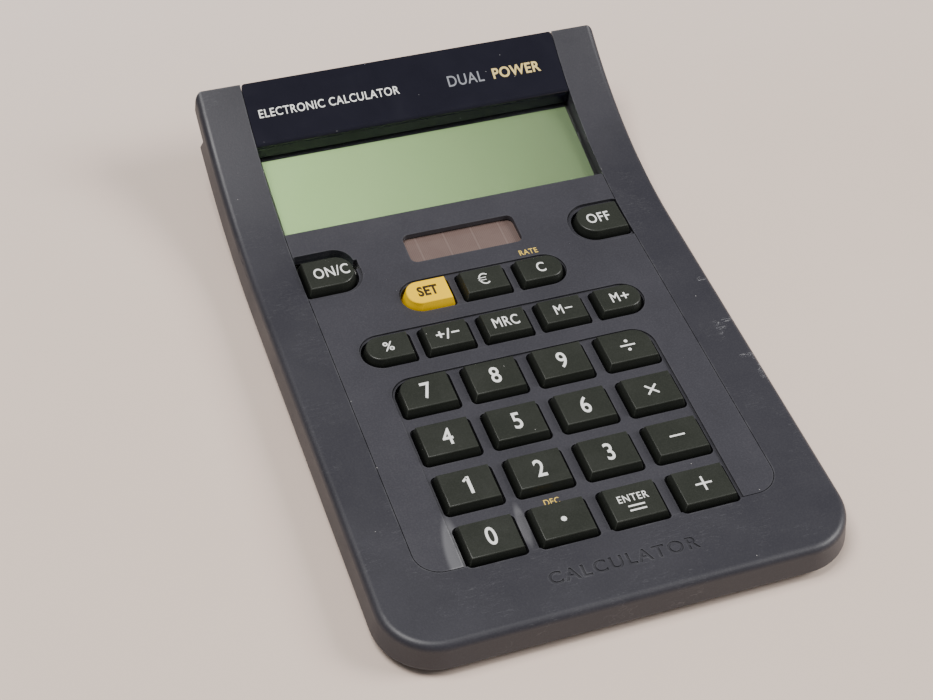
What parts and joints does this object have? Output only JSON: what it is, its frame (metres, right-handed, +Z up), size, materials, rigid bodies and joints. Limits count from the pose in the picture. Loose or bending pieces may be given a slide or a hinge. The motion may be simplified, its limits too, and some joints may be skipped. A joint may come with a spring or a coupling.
{
  "type": "desk calculator",
  "caption": "Slim desk calculator with a flat keypad, spring-back keys, a small solar cell and a display head that sweeps up at the rear.",
  "frame": {"origin": "on the desk, under the middle of the case: the feet's lowest faces are at z = 0", "axes": "+Y towards the display end, +Z up out of the keypad, +X to the right of a person using it"},
  "size_m": [0.1014, 0.153, 0.024],
  "materials": {
    "case_top": "fine-textured dark blue-grey plastic, worn glossy on its edges",
    "case_bottom": "fine-textured near-black plastic",
    "panel": "fine-textured dark blue-grey plastic, worn glossy around the number keys",
    "key_dark": "satin greenish-black plastic with worn top edges, pale labels",
    "key_yellow": "satin yellow plastic with dark brown letters",
    "band": "glossy dark navy plastic, with pale and gold lettering",
    "lens": "clear acrylic",
    "lcd": "pale grey-green liquid crystal display",
    "reflector": "matt silvered film",
    "holder": "off-white plastic frame",
    "flex": "amber flexible printed strip",
    "board": "green solder mask with carbon contacts",
    "chip": "black epoxy",
    "silicone": "translucent white silicone",
    "carbon": "conductive black rubber",
    "solar": "dark glass with fine brown stripes",
    "lead_wire": "tinned copper",
    "cell_steel": "nickel-plated steel",
    "contact_metal": "sprung plated bronze",
    "screw_steel": "zinc-plated steel",
    "feet": "black rubber"
  },
  "bodies": {
    "casing": {"upper_case": "case_top", "lower_case": "case_bottom", "keypad_panel": "panel", "display_band": "band", "display_lens": "lens", "lcd_glass": "lcd", "lcd_reflector": "reflector", "lcd_holder": "holder", "display_flex": "flex", "main_board": "board", "chip_cover": "chip", "keypad_mat": "silicone", "contact_pills": "carbon", "solar_cell": "solar", "solar_leads": "lead_wire", "button_cell": "cell_steel", "cell_contact_plus": "contact_metal", "cell_contact_minus": "contact_metal", "case_screws": "screw_steel", "board_screws": "screw_steel", "rubber_feet": "feet"},
    "key_on": {"key_on": "key_dark"},
    "key_off": {"key_off": "key_dark"},
    "key_set": {"key_set": "key_yellow"},
    "key_euro": {"key_euro": "key_dark"},
    "key_clear": {"key_clear": "key_dark"},
    "key_percent": {"key_percent": "key_dark"},
    "key_sign": {"key_sign": "key_dark"},
    "key_mrc": {"key_mrc": "key_dark"},
    "key_memory_minus": {"key_memory_minus": "key_dark"},
    "key_memory_plus": {"key_memory_plus": "key_dark"},
    "key_7": {"key_7": "key_dark"},
    "key_8": {"key_8": "key_dark"},
    "key_9": {"key_9": "key_dark"},
    "key_divide": {"key_divide": "key_dark"},
    "key_4": {"key_4": "key_dark"},
    "key_5": {"key_5": "key_dark"},
    "key_6": {"key_6": "key_dark"},
    "key_times": {"key_times": "key_dark"},
    "key_1": {"key_1": "key_dark"},
    "key_2": {"key_2": "key_dark"},
    "key_3": {"key_3": "key_dark"},
    "key_minus": {"key_minus": "key_dark"},
    "key_0": {"key_0": "key_dark"},
    "key_point": {"key_point": "key_dark"},
    "key_equals": {"key_equals": "key_dark"},
    "key_plus": {"key_plus": "key_dark"}
  },
  "joints": [
    {"name": "press_on", "type": "slide", "parent": "casing", "child": "key_on", "axis": [0, 0, -1], "range_m": [0, 0.0009], "stiffness_N_per_m": 400, "deforming": ["keypad_mat", "contact_pills"]},
    {"name": "press_off", "type": "slide", "parent": "casing", "child": "key_off", "axis": [0, 0, -1], "range_m": [0, 0.0009], "stiffness_N_per_m": 400},
    {"name": "press_set", "type": "slide", "parent": "casing", "child": "key_set", "axis": [0, 0, -1], "range_m": [0, 0.0009], "stiffness_N_per_m": 400},
    {"name": "press_euro", "type": "slide", "parent": "casing", "child": "key_euro", "axis": [0, 0, -1], "range_m": [0, 0.0009], "stiffness_N_per_m": 400},
    {"name": "press_clear", "type": "slide", "parent": "casing", "child": "key_clear", "axis": [0, 0, -1], "range_m": [0, 0.0009], "stiffness_N_per_m": 400},
    {"name": "press_percent", "type": "slide", "parent": "casing", "child": "key_percent", "axis": [0, 0, -1], "range_m": [0, 0.0009], "stiffness_N_per_m": 400},
    {"name": "press_sign", "type": "slide", "parent": "casing", "child": "key_sign", "axis": [0, 0, -1], "range_m": [0, 0.0009], "stiffness_N_per_m": 400},
    {"name": "press_mrc", "type": "slide", "parent": "casing", "child": "key_mrc", "axis": [0, 0, -1], "range_m": [0, 0.0009], "stiffness_N_per_m": 400},
    {"name": "press_memory_minus", "type": "slide", "parent": "casing", "child": "key_memory_minus", "axis": [0, 0, -1], "range_m": [0, 0.0009], "stiffness_N_per_m": 400},
    {"name": "press_memory_plus", "type": "slide", "parent": "casing", "child": "key_memory_plus", "axis": [0, 0, -1], "range_m": [0, 0.0009], "stiffness_N_per_m": 400},
    {"name": "press_7", "type": "slide", "parent": "casing", "child": "key_7", "axis": [0, 0, -1], "range_m": [0, 0.0009], "stiffness_N_per_m": 400},
    {"name": "press_8", "type": "slide", "parent": "casing", "child": "key_8", "axis": [0, 0, -1], "range_m": [0, 0.0009], "stiffness_N_per_m": 400},
    {"name": "press_9", "type": "slide", "parent": "casing", "child": "key_9", "axis": [0, 0, -1], "range_m": [0, 0.0009], "stiffness_N_per_m": 400},
    {"name": "press_divide", "type": "slide", "parent": "casing", "child": "key_divide", "axis": [0, 0, -1], "range_m": [0, 0.0009], "stiffness_N_per_m": 400},
    {"name": "press_4", "type": "slide", "parent": "casing", "child": "key_4", "axis": [0, 0, -1], "range_m": [0, 0.0009], "stiffness_N_per_m": 400},
    {"name": "press_5", "type": "slide", "parent": "casing", "child": "key_5", "axis": [0, 0, -1], "range_m": [0, 0.0009], "stiffness_N_per_m": 400},
    {"name": "press_6", "type": "slide", "parent": "casing", "child": "key_6", "axis": [0, 0, -1], "range_m": [0, 0.0009], "stiffness_N_per_m": 400},
    {"name": "press_times", "type": "slide", "parent": "casing", "child": "key_times", "axis": [0, 0, -1], "range_m": [0, 0.0009], "stiffness_N_per_m": 400},
    {"name": "press_1", "type": "slide", "parent": "casing", "child": "key_1", "axis": [0, 0, -1], "range_m": [0, 0.0009], "stiffness_N_per_m": 400},
    {"name": "press_2", "type": "slide", "parent": "casing", "child": "key_2", "axis": [0, 0, -1], "range_m": [0, 0.0009], "stiffness_N_per_m": 400},
    {"name": "press_3", "type": "slide", "parent": "casing", "child": "key_3", "axis": [0, 0, -1], "range_m": [0, 0.0009], "stiffness_N_per_m": 400},
    {"name": "press_minus", "type": "slide", "parent": "casing", "child": "key_minus", "axis": [0, 0, -1], "range_m": [0, 0.0009], "stiffness_N_per_m": 400},
    {"name": "press_0", "type": "slide", "parent": "casing", "child": "key_0", "axis": [0, 0, -1], "range_m": [0, 0.0009], "stiffness_N_per_m": 400},
    {"name": "press_point", "type": "slide", "parent": "casing", "child": "key_point", "axis": [0, 0, -1], "range_m": [0, 0.0009], "stiffness_N_per_m": 400},
    {"name": "press_equals", "type": "slide", "parent": "casing", "child": "key_equals", "axis": [0, 0, -1], "range_m": [0, 0.0009], "stiffness_N_per_m": 400},
    {"name": "press_plus", "type": "slide", "parent": "casing", "child": "key_plus", "axis": [0, 0, -1], "range_m": [0, 0.0009], "stiffness_N_per_m": 400}
  ]
}
